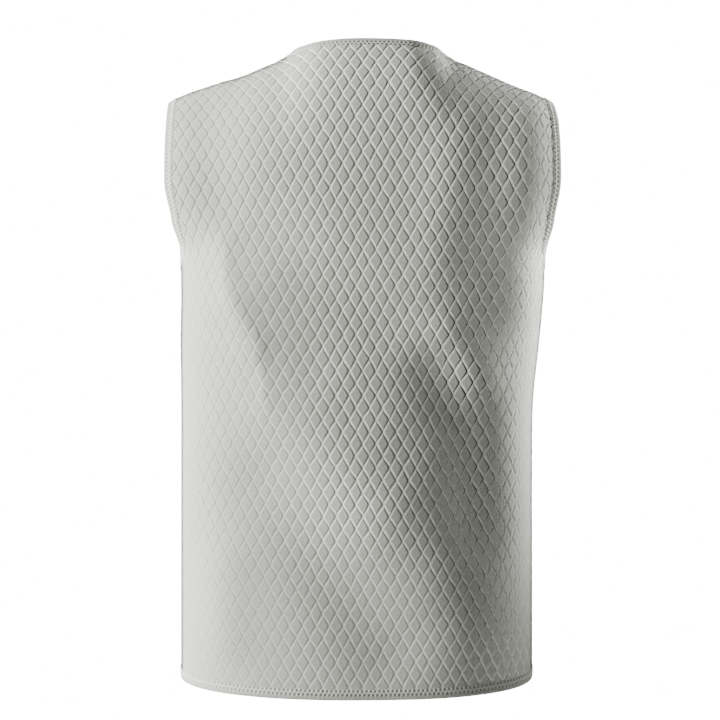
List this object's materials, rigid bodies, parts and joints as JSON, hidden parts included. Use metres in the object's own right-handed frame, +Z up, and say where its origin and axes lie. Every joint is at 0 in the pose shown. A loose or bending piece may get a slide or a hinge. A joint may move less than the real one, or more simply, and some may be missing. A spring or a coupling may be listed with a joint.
{
  "type": "heated vest",
  "caption": "Sleeveless heated vest in padded diamond knit, in the form it keeps when worn, with bound neck, armholes and hem and a closed front zip.",
  "frame": {"origin": "midway between the two shoulders, at the height where the vest sits on them", "axes": "+Z up, -Y out of the wearer's back, +X to the wearer's right"},
  "size_m": [0.4007, 0.241, 0.6621],
  "materials": {
    "quilted_knit": "matte padded knit with a pressed diamond lattice, light greenish grey",
    "band_knit": "matte smooth knit, light greenish grey, with a coverstitch",
    "zip": "moulded teeth on woven tape, light grey"
  },
  "bodies": {
    "root": {"back_panel": "quilted_knit", "front_panel_left": "quilted_knit", "front_panel_right": "quilted_knit", "neck_band": "band_knit", "armhole_band_left": "band_knit", "armhole_band_right": "band_knit", "hem_band": "band_knit", "front_zip": "zip"}
  },
  "joints": []
}
